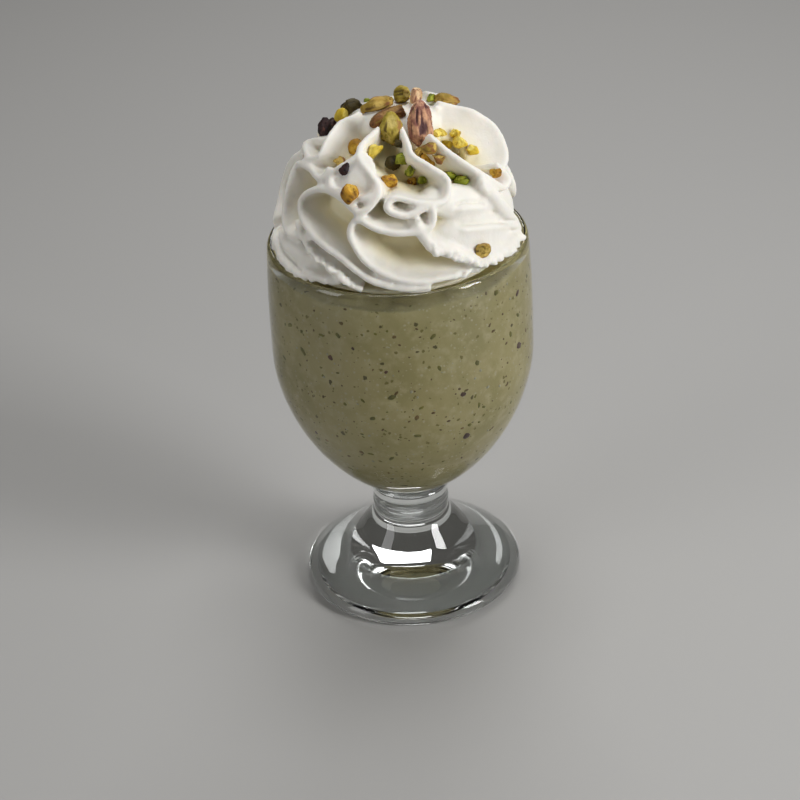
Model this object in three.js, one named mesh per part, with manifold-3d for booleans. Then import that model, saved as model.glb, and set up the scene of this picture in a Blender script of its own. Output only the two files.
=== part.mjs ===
// A stemmed dessert glass of pistachio granita under a piped swirl of whipped cream.
// Millimetres, +Z up, origin at the middle of the foot's underside. The eater faces -Y.
import * as THREE from 'three';
import { ConvexGeometry } from 'three/addons/geometries/ConvexGeometry.js';
import { mergeVertices } from 'three/addons/utils/BufferGeometryUtils.js';
import Module from 'manifold-3d';

// ---- Driving dimensions ----

const GLASS_HEIGHT = 126;
const BOWL_RADIUS = 42;
const BOWL_WIDEST = 87.3;        // height of the widest ring
const BOWL_DROP = 53.6;          // from the widest ring to where the bowl would close
const BOWL_POWER = 1.744;        // 2 would be an ellipse
const BOWL_START = 40;           // height where the bowl leaves the stem
const RIM_RADIUS = 40.7;
const WALL = 2.1;
const BOWL_FLOOR = 42;           // height of the inside's lowest point
const STEM_RADIUS = 12.6;
const FOOT_RADIUS = 36.2;
const FOOT_REST = 33;            // middle of the ring that the glass stands on
const FOOT_HOLLOW = 3.5;         // how far the underside domes up
const GAP = 0.3;                 // between pieces that touch
const AROUND = 44;               // flat sides round the glass
const CLEANING_PASSES = 6;
const DRAW_BACK = 0.02;          // between two sides of one surface that would touch

const GRANITA_LEVEL = 122;       // at the sides
const GRANITA_DIP = 1.8;         // lower at the front, higher at the back
const GRANITA_WAVE = 0.5;        // smaller rise and fall of its edge

const DOME_BASE = 124;           // the cream's ridges end on a rounded dome
const DOME_HEIGHT = 43;
const DOME_RADIUS = 39;
const DOME_POWER = 2.5;
const CORE_SHARE = 0.62;         // the cream's middle, as a share of the dome
const EDGE_HALF = 1.1;           // half the thickness of a ridge's lip
const ROOT_HALF = 2.8;           // half its thickness where it meets the middle
const STEP = 5.7;                // spacing of the sections along a ridge

const GLASS_LOOK = { color: 0xdfe6e6, roughness: 0.03, metalness: 0, transparent: true, opacity: 0.35 };
const GRANITA_LOOK = { color: 0x8a8656, roughness: 0.55, metalness: 0 };
const CREAM_LOOK = { color: 0xf4f1ea, roughness: 0.5, metalness: 0 };
const SKIN = { color: 0x7a4a40, roughness: 0.6, metalness: 0 };
const GREEN = { color: 0x8f8a2e, roughness: 0.6, metalness: 0 };
const TAN = { color: 0x94702f, roughness: 0.6, metalness: 0 };

// ---- Helpers ----

const wasm = await Module();
wasm.setup();

function solidOf(geometry) {
  const bare = geometry.clone();
  bare.deleteAttribute('normal');
  bare.deleteAttribute('uv');
  const merged = mergeVertices(bare, 1e-3);
  return new wasm.Manifold(new wasm.Mesh({
    numProp: 3,
    vertProperties: new Float32Array(merged.attributes.position.array),
    triVerts: new Uint32Array(merged.index.array),
  }));
}

function geometryOf(solid) {
  const mesh = solid.getMesh();
  const geometry = new THREE.BufferGeometry();
  geometry.setAttribute('position', new THREE.BufferAttribute(mesh.vertProperties, 3));
  geometry.setIndex(new THREE.BufferAttribute(mesh.triVerts, 1));
  geometry.computeVertexNormals();
  return geometry;
}

function largestOf(solid) {
  // fills a hollow that joining has sealed, and drops a loose scrap
  return solid.decompose().reduce((best, shell) => (shell.volume() > best.volume() ? shell : best));
}

function cleanOf(solid) {
  // joining leaves slivers: merging their vertices takes a few passes to settle
  let best = largestOf(solid);
  for (let pass = 0; pass < CLEANING_PASSES; pass += 1) {
    best = largestOf(solidOf(geometryOf(best)));
  }
  return best;
}

function partedOf(solid) {
  // where the surface touches itself along an edge, each side draws back a little
  const geometry = geometryOf(solid);
  const { position, normal } = geometry.attributes;
  const spotAt = (i) => new THREE.Vector3().fromBufferAttribute(position, i);
  const touching = new Set();
  // two roundings, so that no pair is missed for lying on either side of a step
  for (const rounded of [Math.round, Math.floor]) {
    const groups = new Map();
    for (let i = 0; i < position.count; i += 1) {
      const key = spotAt(i).toArray().map((v) => rounded(v * 500)).join();
      groups.set(key, [...(groups.get(key) ?? []), i]);
    }
    [...groups.values()].filter((group) => group.length > 1).flat().forEach((i) => touching.add(i));
  }
  for (const i of touching) {
    const spot = spotAt(i).addScaledVector(new THREE.Vector3().fromBufferAttribute(normal, i), -DRAW_BACK);
    position.setXYZ(i, spot.x, spot.y, spot.z);
  }
  return geometry;
}

function turned(outline, sides) {
  // a lathe stands along Y: it is laid over so that it stands along Z
  return new THREE.LatheGeometry(outline, sides).rotateX(Math.PI / 2);
}

function piece(name, geometry, look) {
  const mesh = new THREE.Mesh(geometry, new THREE.MeshStandardMaterial(look));
  mesh.name = name;
  return mesh;
}

const point = (radius, height) => new THREE.Vector2(radius, height);

// ---- Glass ----

function bowlRadius(height) {
  if (height > BOWL_WIDEST) {
    const share = (height - BOWL_WIDEST) / (GLASS_HEIGHT - BOWL_WIDEST);
    return BOWL_RADIUS - (BOWL_RADIUS - RIM_RADIUS) * share ** 3;
  }
  const share = (BOWL_WIDEST - height) / BOWL_DROP;
  return BOWL_RADIUS * (1 - share ** BOWL_POWER) ** (1 / BOWL_POWER);
}

function wallInside(height) {
  // the inside's floor is rounder than the outside, so the glass is thick there
  const span = BOWL_WIDEST - BOWL_FLOOR;
  const widest = BOWL_RADIUS - WALL;
  if (height > BOWL_WIDEST) {
    return bowlRadius(height) - WALL;
  }
  const share = (BOWL_WIDEST - height) / span;
  return widest * (1 - share ** BOWL_POWER) ** (1 / BOWL_POWER);
}

function heightsUp(from, to, count) {
  // closer together near the bottom, where the bowl turns fastest
  const rise = (i) => from + (to - from) * (1 - Math.cos((i / count) * Math.PI / 2));
  return Array.from({ length: count + 1 }, (_, i) => rise(i));
}

function footOutline() {
  const flare = new THREE.SplineCurve([
    point(13.1, 24.3),
    point(15.5, 20.5),
    point(23.5, 12.3),
    point(33, 6),
    point(FOOT_RADIUS - 0.5, 3.6),
    point(FOOT_RADIUS, 2.2),
    point(FOOT_RADIUS - 0.5, 0.8),
  ]);
  const stem = new THREE.SplineCurve([
    point(13.1, 24.3),
    point(STEM_RADIUS, 26.5),
    point(STEM_RADIUS, 31.5),
    point(13.3, 35),
  ]);
  return { flare: flare.getPoints(9), stem: stem.getPoints(3) };
}

function glassOutline() {
  const { flare, stem } = footOutline();
  const lip = GLASS_HEIGHT - WALL / 2;
  const outside = heightsUp(BOWL_START, lip, 9).map((z) => point(bowlRadius(z), z));
  const rim = [point(RIM_RADIUS - WALL * 0.3, GLASS_HEIGHT), point(RIM_RADIUS - WALL * 0.7, GLASS_HEIGHT)];
  const inside = heightsUp(BOWL_FLOOR, lip, 9).map((z) => point(wallInside(z), z)).reverse();
  return [
    point(0, FOOT_HOLLOW),
    point(18, FOOT_HOLLOW * 0.7),
    point(FOOT_REST - 3.5, 0),
    point(FOOT_REST + 1.5, 0),
    ...flare.reverse(),
    ...stem.slice(1),
    ...outside,
    ...rim,
    ...inside,
  ];
}

// ---- Granita ----

function granitaEdge(angle) {
  const small = Math.sin(5 * angle + 1) + Math.sin(9 * angle);
  return GRANITA_DIP * Math.sin(angle) + GRANITA_WAVE * small / 2;
}

function granitaGeometry(grow) {
  // it keeps the gap to the wall, and grow thickens it into a cutter for what lies on it
  const side = heightsUp(BOWL_FLOOR, GRANITA_LEVEL, 9).map((z) => point(wallInside(z) - GAP + grow, z));
  side[0].set(0, BOWL_FLOOR + GAP - grow);
  const edge = side[side.length - 1];
  const top = [point(edge.x - 4, edge.y + 0.4 + grow), point(0, edge.y + grow)];
  edge.y += grow;
  const geometry = turned([...side, ...top], AROUND);
  const spots = geometry.attributes.position;
  for (let i = 0; i < spots.count; i += 1) {
    if (spots.getZ(i) >= edge.y && Math.hypot(spots.getX(i), spots.getY(i)) > 1) {
      spots.setZ(i, spots.getZ(i) + granitaEdge(Math.atan2(spots.getY(i), spots.getX(i))));
    }
  }
  return geometry;
}

// ---- Cream ----

function domeRadius(height) {
  const share = Math.min(1, Math.max(0, (height - DOME_BASE) / DOME_HEIGHT));
  return DOME_RADIUS * (1 - share ** DOME_POWER) ** (1 / DOME_POWER);
}

function onDome([turn, height, reach = 1]) {
  // turn is in degrees from the front, positive to the right
  const angle = THREE.MathUtils.degToRad(turn - 90);
  const radius = domeRadius(height) * reach;
  return new THREE.Vector3(radius * Math.cos(angle), radius * Math.sin(angle), height);
}

function inwardAt(edge) {
  // the dome's inward normal, from the slope of its outline
  const radius = Math.hypot(edge.x, edge.y) || 1e-6;
  const share = (value, whole) => Math.sign(value) * Math.abs(value / whole) ** (DOME_POWER - 1) / whole;
  const flat = share(radius, DOME_RADIUS);
  const up = share(edge.z - DOME_BASE, DOME_HEIGHT);
  return new THREE.Vector3(-flat * edge.x / radius, -flat * edge.y / radius, -up).normalize();
}

function ridgeSections({ path, depth = 12, rise = 5, edge = EDGE_HALF, root = ROOT_HALF }) {
  const curve = new THREE.CatmullRomCurve3(path.map(onDome), false, 'centripetal');
  const count = Math.max(4, Math.round(curve.getLength() / STEP));
  return Array.from({ length: count + 1 }, (_, i) => {
    const tip = curve.getPointAt(i / count);
    const along = curve.getTangentAt(i / count);
    const inward = inwardAt(tip);
    const upward = new THREE.Vector3(0, 0, 1).addScaledVector(inward, -inward.z).normalize();
    const foot = tip.clone().addScaledVector(inward, depth).addScaledVector(upward, rise);
    const into = foot.clone().sub(tip);
    const across = new THREE.Vector3().crossVectors(along, into).normalize();
    const pair = (share, half) => {
      const middle = tip.clone().addScaledVector(into, share);
      return [-half, half].map((side) => middle.clone().addScaledVector(across, side));
    };
    return [tip, ...pair(0.08, edge), ...pair(1, root)];
  });
}

function ridgeSolid(ridge) {
  const sections = ridgeSections(ridge);
  const hulls = sections.slice(1).map((section, i) => new ConvexGeometry([...sections[i], ...section]));
  return wasm.Manifold.union(hulls.map(solidOf));
}

const RIDGES = [
  // the ribbon that folds down the front, left of the middle, and ends along the rim
  { path: [[-24, 166.5], [-31, 164], [-27, 162], [-14, 158.5], [-9, 155.5], [-13, 151.5], [-19, 149.5],
    [-31, 152.8], [-46, 153.3], [-56, 149], [-53, 144.5], [-42, 139.9], [-26, 135.2], [-13, 129.5],
    [2, 126.5], [14, 125.5]] },
  // the small petal beside it
  { path: [[-30, 162], [-39, 159], [-41.5, 156.5], [-37, 154.2], [-26, 152.9], [-15, 153.6], [-11, 155.4],
    [-11.5, 158]] },
  // the ribbon right of the middle, with two loops, that also ends along the rim
  { path: [[20, 166.8], [15, 164.5], [15, 162.5], [24, 159.7], [32, 155.5], [26, 150.8], [12, 151.7],
    [-1, 153.5], [-5, 151], [4, 148.6], [18, 150], [17, 145], [3, 143.9], [-10, 145.3], [-20, 147.5],
    [-23, 143.5], [-15, 135.4], [-3, 130.5], [8, 128.6], [20, 127.9, 0.98], [32, 127.2, 0.97],
    [40, 127.6, 0.96]] },
  // the broad lobe on the right
  { path: [[9, 146], [12, 142], [16, 138.2], [26, 134.7], [38, 129.9], [50, 128], [62, 127.6], [78, 128]],
    depth: 10,
    rise: 12,
    edge: 1.7 },
  // the near and the far edge of the big scoop at the upper right
  { path: [[43, 165], [43, 162.4], [47, 159], [53, 155.2], [60, 151.2], [66, 147.4], [72, 145.4],
    [76, 147, 1.03], [78, 149.8], [74, 152]] },
  { path: [[158, 162, 1.1], [150, 165.2, 1.45], [144, 165.8, 1.6], [138, 164.6, 1.35], [131, 164.2, 1.12],
    [126, 165.2, 1.22], [118, 163.6, 1.18], [112, 162.4, 1.22], [107, 157.8, 1.16], [97, 153, 1.09],
    [90, 148.6, 1.01], [84, 147, 0.94]] },
  // the blunt crest below it
  { path: [[52, 151.5], [56, 149.5], [60, 145], [65, 139.5], [72, 134], [80, 128.5]], edge: 2.4, root: 4 },
  // the fold below the scoop, at the right side
  { path: [[98, 149], [110, 146.5], [97, 141.5], [99, 135.5], [112, 130.5], [128, 126.5]] },
  // the petals at the left
  { path: [[-114, 166.3], [-99, 166], [-92, 165.2], [-78, 164.1], [-68, 162.6], [-61, 160], [-66, 158.3],
    [-76, 158.4], [-90, 159], [-86, 160.4, 0.93], [-78, 161.4, 0.9]] },
  { path: [[-46, 159], [-47, 155.8], [-62, 156.6], [-76, 155], [-72, 149], [-68, 141], [-62, 137],
    [-43, 139.8]] },
  { path: [[-60, 141, 0.95], [-50, 138.2], [-44, 136, 1.01], [-38, 133.6, 1.02], [-29, 131.3, 1.02],
    [-24, 128.6, 1.02], [-17, 125.8]],
    edge: 0.8,
    root: 1.8 },
  { path: [[-97, 131, 0.97], [-82, 130], [-68, 129, 1.03], [-58, 128.3, 1.05], [-46, 128, 1.05],
    [-36, 127.7, 1.03], [-27, 128]],
    edge: 1.6 },
  { path: [[-84, 157, 0.97], [-96, 151, 0.97], [-100, 144, 0.97], [-95, 138, 0.97], [-84, 134]], edge: 2 },
];

// Behind, the same ribbon repeats, a little different each time.
const BACK_RIDGE = [
  [-4, 165.5], [4, 162], [12, 157], [-6, 152], [10, 146.5], [-10, 143], [-6, 136], [10, 130], [28, 126],
];
const BACK_TURNS = [[124, 1], [150, 1], [176, 1], [202, 0.98], [228, 0.9]];    // turn, reach
BACK_TURNS.forEach(([turn, reach], i) => RIDGES.push({
  path: BACK_RIDGE.map(([t, z]) => [turn + t, z + Math.sin(i * 2.1 + z * 0.3) * 0.8, reach]),
}));

// Broad bulges that hug the dome: half of each size in degrees, millimetres and reach.
const LOBES = [
  { at: [48, 135.4, 0.82], wide: 31, tall: 7.4, thick: 0.145, lean: -4.5 },
  { at: [42, 146.2, 0.80], wide: 26, tall: 5.4, thick: 0.135, lean: -4 },
  { at: [80, 137, 0.84], wide: 15, tall: 9, thick: 0.11, lean: -2 },
  { at: [-24, 158.2, 0.86], wide: 12.5, tall: 4, thick: 0.095, lean: 0 },
  { at: [-62, 131.6, 0.9], wide: 24, tall: 4.4, thick: 0.12, lean: 0.5 },
];

function lobeGeometry({ at: [turn, height, reach], wide, tall, thick, lean }) {
  const geometry = new THREE.IcosahedronGeometry(1, 2);
  const spots = geometry.attributes.position;
  for (let i = 0; i < spots.count; i += 1) {
    const { x, y, z } = new THREE.Vector3().fromBufferAttribute(spots, i);
    const face = Math.sign(y) * Math.abs(y) ** 0.7;
    const spot = onDome([turn + x * wide, height + z * tall + x * lean, reach - face * thick]);
    spots.setXYZ(i, spot.x, spot.y, spot.z);
  }
  return geometry;
}

function creamCore() {
  const profile = Array.from({ length: 10 }, (_, i) => {
    const climb = (i / 9) * Math.PI / 2;
    const radius = DOME_RADIUS * CORE_SHARE * Math.cos(climb) ** (2 / DOME_POWER);
    return point(i === 9 ? 0 : radius, DOME_BASE + DOME_HEIGHT * 0.8 * Math.sin(climb) ** (2 / DOME_POWER));
  });
  return turned([point(0, DOME_BASE - 2), point(33, DOME_BASE - 2), point(33, DOME_BASE), ...profile], 24);
}

function creamPeak() {
  // the rounded middle of the top, where the large nuts lie
  const side = [point(14, 150), point(13.5, 161), point(10.5, 164.2), point(6, 165.7)];
  return turned([point(0, 150), ...side, point(0, 166.2)], 16).translate(1, 9, 0);
}

function outsideOfGlass() {
  // all that the glass takes up above the granita, and the space round it
  const outer = BOWL_RADIUS + 10;
  const wall = [100, 106, 112, 118, GLASS_HEIGHT - WALL / 2].map((z) => point(wallInside(z) - GAP, z));
  const over = GLASS_HEIGHT + GAP;
  const lip = [point(RIM_RADIUS - WALL * 0.7 - GAP, over), point(outer, over), point(outer, 100)];
  return turned([...wall, ...lip, wall[0]].reverse(), AROUND);
}

// ---- Pistachios ----

function randomFrom(seed) {
  // the same draws each time
  let state = seed;
  return () => {
    state = (state * 1664525 + 1013904223) % 4294967296;
    return state / 4294967296;
  };
}

function nutGeometry([length, width, thick], detail, random) {
  // a long rounded nut, narrower at one end, with an uneven skin
  const geometry = new THREE.IcosahedronGeometry(1, detail);
  geometry.deleteAttribute('normal');
  geometry.deleteAttribute('uv');
  const nut = mergeVertices(geometry, 1e-3);
  const spots = nut.attributes.position;
  for (let i = 0; i < spots.count; i += 1) {
    const spot = new THREE.Vector3().fromBufferAttribute(spots, i);
    const girth = (1 - 0.18 * spot.x) * (0.93 + 0.14 * random()) / 2;
    spots.setXYZ(i, spot.x * length / 2, spot.y * width * girth, spot.z * thick * girth);
  }
  return nut;
}

function laid(geometry, turn, climb, roll, at) {
  // the nut's narrow end points to turn (0 is the front, positive right), raised by climb
  const spin = new THREE.Euler(...[roll, -climb, turn - 90].map(THREE.MathUtils.degToRad), 'ZYX');
  return geometry.applyMatrix4(new THREE.Matrix4().makeRotationFromEuler(spin).setPosition(...at));
}

const KERNELS = [
  { name: 'kernel_in_skin', at: [8.6, -5, 165.2], size: [15, 8, 7.4], turn: 180, climb: 60, look: SKIN },
  { name: 'kernel_green', at: [-0.3, -7, 165], size: [11.5, 8.4, 7.2], turn: 175, climb: 58, look: GREEN },
  { name: 'kernel_across', at: [-0.5, 1.5, 165], size: [13.5, 6.2, 5.6], turn: 105, climb: 18, look: TAN },
  { name: 'kernel_left', at: [-4, 7.6, 166.4], size: [10.5, 6.8, 6], turn: 100, climb: 12, look: GREEN },
  { name: 'kernel_top', at: [3.9, 10.2, 168.4], size: [6.8, 5.6, 5], turn: 60, climb: 20, look: GREEN },
  { name: 'kernel_tip', at: [7.8, 6.2, 169.5], size: [7.5, 4.4, 4], turn: 20, climb: 65, look: SKIN },
  { name: 'kernel_back_left', at: [-12, 11.2, 164.8], size: [7.4, 5.6, 5], turn: 100, climb: 12, look: TAN },
  { name: 'kernel_far_left', at: [-20.3, 4, 161.4], size: [6.6, 4.8, 4.2], turn: 170, climb: 60, look: SKIN },
  { name: 'kernel_back_right', at: [17.3, 14, 163.6], size: [8.8, 5.6, 5], turn: 95, climb: -5, look: GREEN },
];

// The chopped bits stick where they hit. Each flies straight from far in front, or far behind,
// through a spot in the middle plane: [x, height, size].
const FRONT = new THREE.Vector3(0, -559, 405);
const BEHIND = new THREE.Vector3(0, 500, 405);
const FRONT_BITS = [
  [13, 159.6, 3.4], [16.5, 155.8, 5.2], [18.8, 159.2, 4], [20.5, 155.9, 5.4], [24.1, 153.3, 4.6],
  [15.1, 159.5, 3], [-7, 154.8, 6], [-14, 167.1, 5.4], [16.8, 146.1, 4.6], [20.7, 142.8, 5.6],
  [3.2, 151.5, 4.4], [5.5, 148.4, 4.4], [8.8, 144.9, 3.6], [11.9, 170.7, 3.6], [12.2, 155.3, 5.2],
  [14.5, 151.6, 4.4], [8.8, 153.9, 3.8], [0.4, 149.4, 6], [-16.9, 152, 4.2], [30.9, 146.3, 4.4],
  [10.5, 150.5, 5.2], [5.3, 143.7, 4], [-2.6, 144.2, 6.4], [-13.9, 140.1, 6.4], [-11.5, 155.7, 6.2],
  [25.6, 118.4, 6.2], [-14.9, 149.2, 4], [-17.8, 164.1, 4.6],
];
const BACK_BITS = [[5, 158, 3.4], [-7, 152, 3.6], [12, 150, 3.6], [-3, 146, 3.2]];

function thrownOn(mesh, start, x, height) {
  const way = new THREE.Vector3(x, 0, height).sub(start).normalize();
  return new THREE.Raycaster(start, way).intersectObject(mesh)[0].point;
}

// ---- Assembly ----

const random = randomFrom(7);
const seats = [];
const kernels = KERNELS.map(({ name, at, size, turn, climb, look }) => {
  const nut = nutGeometry(size, 1, random);
  const roll = random() * 360;
  const seat = nut.clone().scale(...size.map((side) => 1 + 3 * GAP / side));
  seats.push(solidOf(laid(seat, turn, climb, roll, at)));
  return piece(name, laid(nut, turn, climb, roll, at), look);
});

const shapes = [creamCore(), creamPeak(), ...LOBES.map(lobeGeometry)].map(solidOf);
const bareCream = wasm.Manifold.union([...shapes, ...RIDGES.map(ridgeSolid)]);
const landing = piece('landing', geometryOf(bareCream), CREAM_LOOK);
const throws = [...FRONT_BITS.map((bit) => [FRONT, ...bit]), ...BACK_BITS.map((bit) => [BEHIND, ...bit])];
const bits = throws.map(([start, x, height, size]) => {
  const at = thrownOn(landing, start, x, height);
  const sides = [size, size * 0.82, size * 0.68];
  return solidOf(laid(nutGeometry(sides, 0, random), random() * 360, random() * 40, 0, at));
});

const cutters = [outsideOfGlass(), granitaGeometry(GAP)].map(solidOf);
const heaped = wasm.Manifold.union([bareCream, ...bits]);
const seated = heaped.subtract(wasm.Manifold.union([...cutters, ...seats]));
const cream = cleanOf(seated);

const group = new THREE.Group();
group.add(piece('glass', turned(glassOutline(), AROUND), GLASS_LOOK));
group.add(piece('granita', granitaGeometry(0), GRANITA_LOOK));
group.add(piece('whipped_cream', partedOf(cream), CREAM_LOOK));
group.add(...kernels);

export default group;
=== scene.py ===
# %% [markdown]
# # A glass of pistachio granita
# This lesson dresses the solids of a stemmed dessert glass: clear glass round an olive
# granita, a piped swirl of whipped cream on top, and whole and chopped pistachios on the
# cream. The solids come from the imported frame. They fix where everything is and how large,
# so each piece below stands where its solid stands and takes its place in the picture.

# %% Load the frame
import math
import random

import bpy
import numpy as np
from mathutils import Matrix, Vector, noise
from mathutils.bvhtree import BVHTree


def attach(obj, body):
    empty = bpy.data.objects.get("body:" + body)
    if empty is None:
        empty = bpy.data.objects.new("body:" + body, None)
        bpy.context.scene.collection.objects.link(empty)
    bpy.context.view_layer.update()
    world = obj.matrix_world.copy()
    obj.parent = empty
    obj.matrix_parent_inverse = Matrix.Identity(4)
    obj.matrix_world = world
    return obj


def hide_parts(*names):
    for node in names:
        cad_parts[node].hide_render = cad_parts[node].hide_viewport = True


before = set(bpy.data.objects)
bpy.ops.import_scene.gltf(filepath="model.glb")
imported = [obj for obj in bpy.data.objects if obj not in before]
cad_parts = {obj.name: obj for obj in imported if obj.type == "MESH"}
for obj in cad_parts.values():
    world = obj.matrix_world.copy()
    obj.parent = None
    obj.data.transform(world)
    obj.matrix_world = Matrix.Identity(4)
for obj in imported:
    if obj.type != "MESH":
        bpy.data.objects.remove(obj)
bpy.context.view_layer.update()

MM = 0.001
BODY = "root"

# %% [markdown]
# ## The camera
# The photograph looks down on the glass at about 32 degrees, from two thirds of a metre,
# with a long lens and a slight tilt to one side. The camera is worked out from those few
# values instead of being placed by eye, so the picture can be laid over the photograph.

# %% Camera
LOOK_DOWN = math.radians(31.64)
ROLL = math.radians(2.966)
DISTANCE = 0.65687
AIM_HEIGHT = 0.060
FRAME_SIZE = 800
FOCAL_PIXELS = 1997.96
AIM_PIXEL = (406.62, 414.70)
SENSOR_WIDTH = 36.0


def photo_camera():
    forward = Vector((0, math.cos(LOOK_DOWN), -math.sin(LOOK_DOWN)))
    right = Vector((1, 0, 0))
    level = Matrix((right, right.cross(forward), forward))
    rolled = Matrix.Rotation(ROLL, 3, "Z") @ level
    middle = FRAME_SIZE / 2
    aim = Vector((AIM_PIXEL[0] - middle, middle - AIM_PIXEL[1], FOCAL_PIXELS)).normalized()
    turned = Vector((0, 0, 1)).rotation_difference(aim).to_matrix() @ rolled
    place = Matrix((turned[0], turned[1], -turned[2])).transposed().to_4x4()
    place.translation = Vector((0, 0, AIM_HEIGHT)) - forward * DISTANCE
    return place


bpy.ops.object.camera_add()
camera = bpy.context.object
camera.name = "photo_camera"
camera.matrix_world = photo_camera()
camera.data.sensor_width = SENSOR_WIDTH
camera.data.lens = SENSOR_WIDTH * FOCAL_PIXELS / FRAME_SIZE
camera.data.clip_start = 0.01
bpy.context.scene.camera = camera
print("the lens is", round(camera.data.lens, 1), "mm long")

# %% [markdown]
# ## Small helpers
# Operators act on everything that is selected, and loading the frame leaves its solids
# selected. So each step first clears the selection and then picks the piece it works on.


# %% Selecting and finishing pieces
def select_only(piece):
    bpy.ops.object.select_all(action="DESELECT")
    piece.select_set(True)
    bpy.context.view_layer.objects.active = piece


def edit(piece):
    select_only(piece)
    bpy.ops.object.mode_set(mode="EDIT")
    bpy.ops.mesh.select_all(action="SELECT")


def leave_edit():
    bpy.ops.object.mode_set(mode="OBJECT")


def apply_modifier(piece, kind, **settings):
    select_only(piece)
    modifier = piece.modifiers.new(kind.title(), kind)
    for key, value in settings.items():
        setattr(modifier, key, value)
    bpy.ops.object.modifier_apply(modifier=modifier.name)


def new_mesh(name, points, faces):
    mesh = bpy.data.meshes.new(name)
    mesh.from_pydata([tuple(p) for p in points], [], faces)
    mesh.update()
    piece = bpy.data.objects.new(name, mesh)
    bpy.context.scene.collection.objects.link(piece)
    return piece


def join(name, pieces):
    select_only(pieces[0])
    for piece in pieces[1:]:
        piece.select_set(True)
    if len(pieces) > 1:
        bpy.ops.object.join()
    joined = bpy.context.object
    joined.name = name
    joined.data.name = name
    return joined


def ball(subdivisions, radius, place=(0, 0, 0)):
    bpy.ops.object.select_all(action="DESELECT")
    bpy.ops.mesh.primitive_ico_sphere_add(subdivisions=subdivisions, radius=radius, location=place)
    bpy.ops.object.transform_apply(location=True)
    return bpy.context.object


def points_of(piece):
    spots = np.empty(len(piece.data.vertices) * 3, np.float32)
    piece.data.vertices.foreach_get("co", spots)
    return spots.reshape(-1, 3).astype(float)


def normals_of(piece):
    ways = np.empty(len(piece.data.vertices) * 3, np.float32)
    piece.data.vertex_normals.foreach_get("vector", ways)
    return ways.reshape(-1, 3).astype(float)


def move_points(piece, spots):
    piece.data.vertices.foreach_set("co", spots.astype(np.float32).ravel())
    piece.data.update()


def add_attribute(piece, name, kind, values):
    attribute = piece.data.attributes.new(name, kind, "POINT")
    key = "vector" if kind == "FLOAT_VECTOR" else "value"
    attribute.data.foreach_set(key, np.asarray(values, np.float32).ravel())


def triangles_of(piece):
    return sum(len(face.vertices) - 2 for face in piece.data.polygons)


def finish(piece, slot, material, *nodes):
    """Gives a finished piece its look, its body and the solids it stands for."""
    piece.data.materials.clear()
    piece.data.materials.append(material)
    piece.data.polygons.foreach_set("use_smooth", [True] * len(piece.data.polygons))
    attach(piece, BODY)
    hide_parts(*nodes)
    print(piece.name, "has", triangles_of(piece), "triangles")


def smoothstep(low, high, value):
    share = np.clip((value - low) / (high - low), 0, 1)
    return share * share * (3 - 2 * share)


# %% [markdown]
# ## Colours and shared effects
# Colours are written as they look on a screen, from 0 to 255, and turned into the linear
# values that the shader wants. Food is never one flat colour, so two effects are built once
# as node groups: soft patches, where one shade drifts into another, and flecks, where small
# grains of another colour lie scattered.


# %% Colour and node helpers
def colour(red, green, blue):
    def linear(value):
        share = value / 255
        return share / 12.92 if share <= 0.04045 else ((share + 0.055) / 1.055) ** 2.4

    return (linear(red), linear(green), linear(blue), 1.0)


def add(tree, kind, values=None, **settings):
    """A node with its settings; a value may be a number, a colour or another node's socket."""
    node = tree.nodes.new(kind)
    for key, value in settings.items():
        setattr(node, key, value)
    for key, value in (values or {}).items():
        if isinstance(value, bpy.types.NodeSocket):
            tree.links.new(value, node.inputs[key])
        else:
            node.inputs[key].default_value = value
    return node


def math_node(tree, operation, first, second):
    return add(tree, "ShaderNodeMath", {0: first, 1: second}, operation=operation).outputs["Value"]


def new_group(name, inputs, output):
    tree = bpy.data.node_groups.new(name, "ShaderNodeTree")
    for label, kind, value in inputs:
        socket = tree.interface.new_socket(label, in_out="INPUT", socket_type=kind)
        if value is not None:
            socket.default_value = value
    tree.interface.new_socket(output, in_out="OUTPUT", socket_type="NodeSocketFloat")
    return tree, tree.nodes.new("NodeGroupInput").outputs, tree.nodes.new("NodeGroupOutput").inputs


def patches_group():
    tree, given, out = new_group("soft_patches", [
        ("Place", "NodeSocketVector", None), ("Scale", "NodeSocketFloat", 100.0),
        ("Low", "NodeSocketFloat", 0.4), ("High", "NodeSocketFloat", 0.6)], "Mask")
    cloud = add(tree, "ShaderNodeTexNoise", {
        "Vector": given["Place"], "Scale": given["Scale"], "Detail": 4.0, "Roughness": 0.6})
    ramp = add(tree, "ShaderNodeMapRange", {
        "Value": cloud.outputs["Fac"], "From Min": given["Low"], "From Max": given["High"]},
        interpolation_type="SMOOTHSTEP")
    tree.links.new(ramp.outputs["Result"], out["Mask"])
    return tree


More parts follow.
